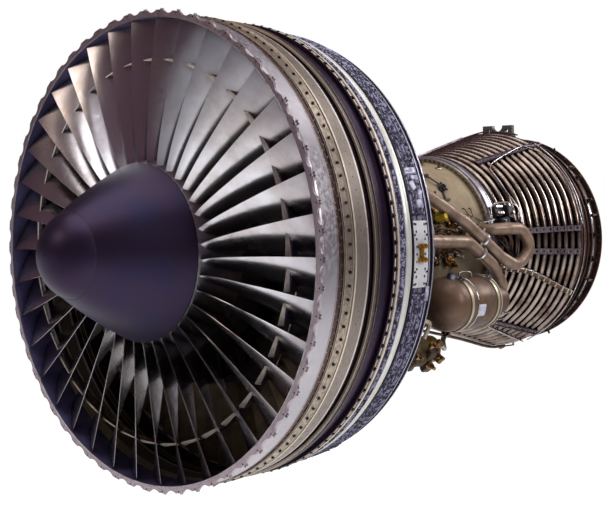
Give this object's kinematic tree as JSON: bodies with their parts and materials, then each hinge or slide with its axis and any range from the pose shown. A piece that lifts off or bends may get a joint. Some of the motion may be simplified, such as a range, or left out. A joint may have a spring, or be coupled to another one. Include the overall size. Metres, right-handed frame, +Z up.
{
  "type": "jet engine",
  "caption": "High-bypass turbofan engine without its cowls, with fan, booster, compressor, burner, turbines, tube hoops, gearbox, oil tank and hanging mounts.",
  "frame": {"origin": "centre of the front flange's forward face, on the shaft line", "axes": "+X aft along the shaft line, +Y to the engine's right seen from behind, +Z up"},
  "size_m": [3.981, 2.474, 2.474],
  "materials": {
    "case_silver": "satin",
    "rub_lining": "matt sprayed lining",
    "nut_steel": "dark plated",
    "case_violet": "satin, mottled",
    "blade_titanium": "polished titanium",
    "disc_titanium": "turned titanium",
    "spinner_paint": "satin dark violet",
    "shaft_steel": "ground",
    "bearing_steel": "ground",
    "duct_alloy": "satin",
    "small_blade_alloy": "satin",
    "vane_tan": "satin tan",
    "frame_alloy": "cast and machined",
    "core_steel": "heat-tinted",
    "ring_steel": "satin",
    "shell_tan": "matt tan coating",
    "hot_alloy": "heat-tinted",
    "turbine_skin": "heat-tinted mauve",
    "tube_silver": "bright drawn tube",
    "rail_mauve": "satin mauve grey",
    "exhaust_brown": "heat-darkened",
    "bracket_white": "satin white",
    "mount_steel": "machined forging",
    "gearbox_alloy": "cast, bronze tinted",
    "unit_brown": "satin brown",
    "unit_grey": "satin grey",
    "unit_gold": "gold chromate",
    "tank_olive": "satin olive brown",
    "strap_cream": "satin cream",
    "pipe_tan": "matt pinkish tan",
    "box_brown": "satin brown"
  },
  "bodies": {
    "casings": {"front_case": "case_silver", "rub_strip": "rub_lining", "front_flange_nuts": "nut_steel", "rear_fan_case": "case_violet", "exit_case": "case_violet", "front_band_bolts": "nut_steel", "rear_band_bolts": "nut_steel", "fan_bearing": "bearing_steel", "rear_bearing": "bearing_steel", "flow_splitter": "duct_alloy", "booster_case": "duct_alloy", "booster_vanes": "vane_tan", "exit_guide_vanes": "vane_tan", "intermediate_case": "frame_alloy", "fan_bearing_support": "frame_alloy", "core_bearing_support": "frame_alloy", "core_bearings": "bearing_steel", "compressor_case_upper": "core_steel", "compressor_case_lower": "core_steel", "compressor_vanes": "small_blade_alloy", "vane_control_rings": "ring_steel", "diffuser_case": "shell_tan", "burner_liner": "hot_alloy", "burner_inner_case": "hot_alloy", "fuel_manifold": "ring_steel", "core_turbine_vanes": "hot_alloy", "core_turbine_case": "hot_alloy", "turbine_case": "turbine_skin", "turbine_vanes": "hot_alloy", "cooling_tubes": "tube_silver", "cooling_rails": "rail_mauve", "exhaust_case": "exhaust_brown", "rear_cover": "exhaust_brown", "side_bracket": "bracket_white", "forward_mount": "mount_steel", "aft_mount": "mount_steel", "accessory_gearbox": "gearbox_alloy", "starter": "unit_brown", "generator": "unit_grey", "fuel_pump": "unit_gold", "drive_shaft_housing": "gearbox_alloy", "oil_tank": "tank_olive", "tank_straps": "strap_cream", "upper_bleed_pipe": "pipe_tan", "lower_bleed_pipe": "pipe_tan", "ignition_boxes": "box_brown"},
    "fan_spool": {"spinner_cap": "spinner_paint", "spinner_cone": "spinner_paint", "fan_hub": "disc_titanium", "fan_blades": "blade_titanium", "fan_shaft": "shaft_steel", "booster_drum": "disc_titanium", "booster_blades": "small_blade_alloy", "turbine_rotor": "hot_alloy", "turbine_blades": "hot_alloy"},
    "core_spool": {"compressor_drum": "disc_titanium", "compressor_blades": "small_blade_alloy", "core_shaft": "shaft_steel", "core_turbine_rotor": "hot_alloy", "core_turbine_blades": "hot_alloy"}
  },
  "joints": [
    {"name": "fan_spin", "type": "hinge", "parent": "casings", "child": "fan_spool", "pos_m": [0, 0, 0], "axis": [1, 0, 0], "continuous": true},
    {"name": "core_spin", "type": "hinge", "parent": "casings", "child": "core_spool", "pos_m": [0, 0, 0], "axis": [1, 0, 0], "continuous": true}
  ]
}
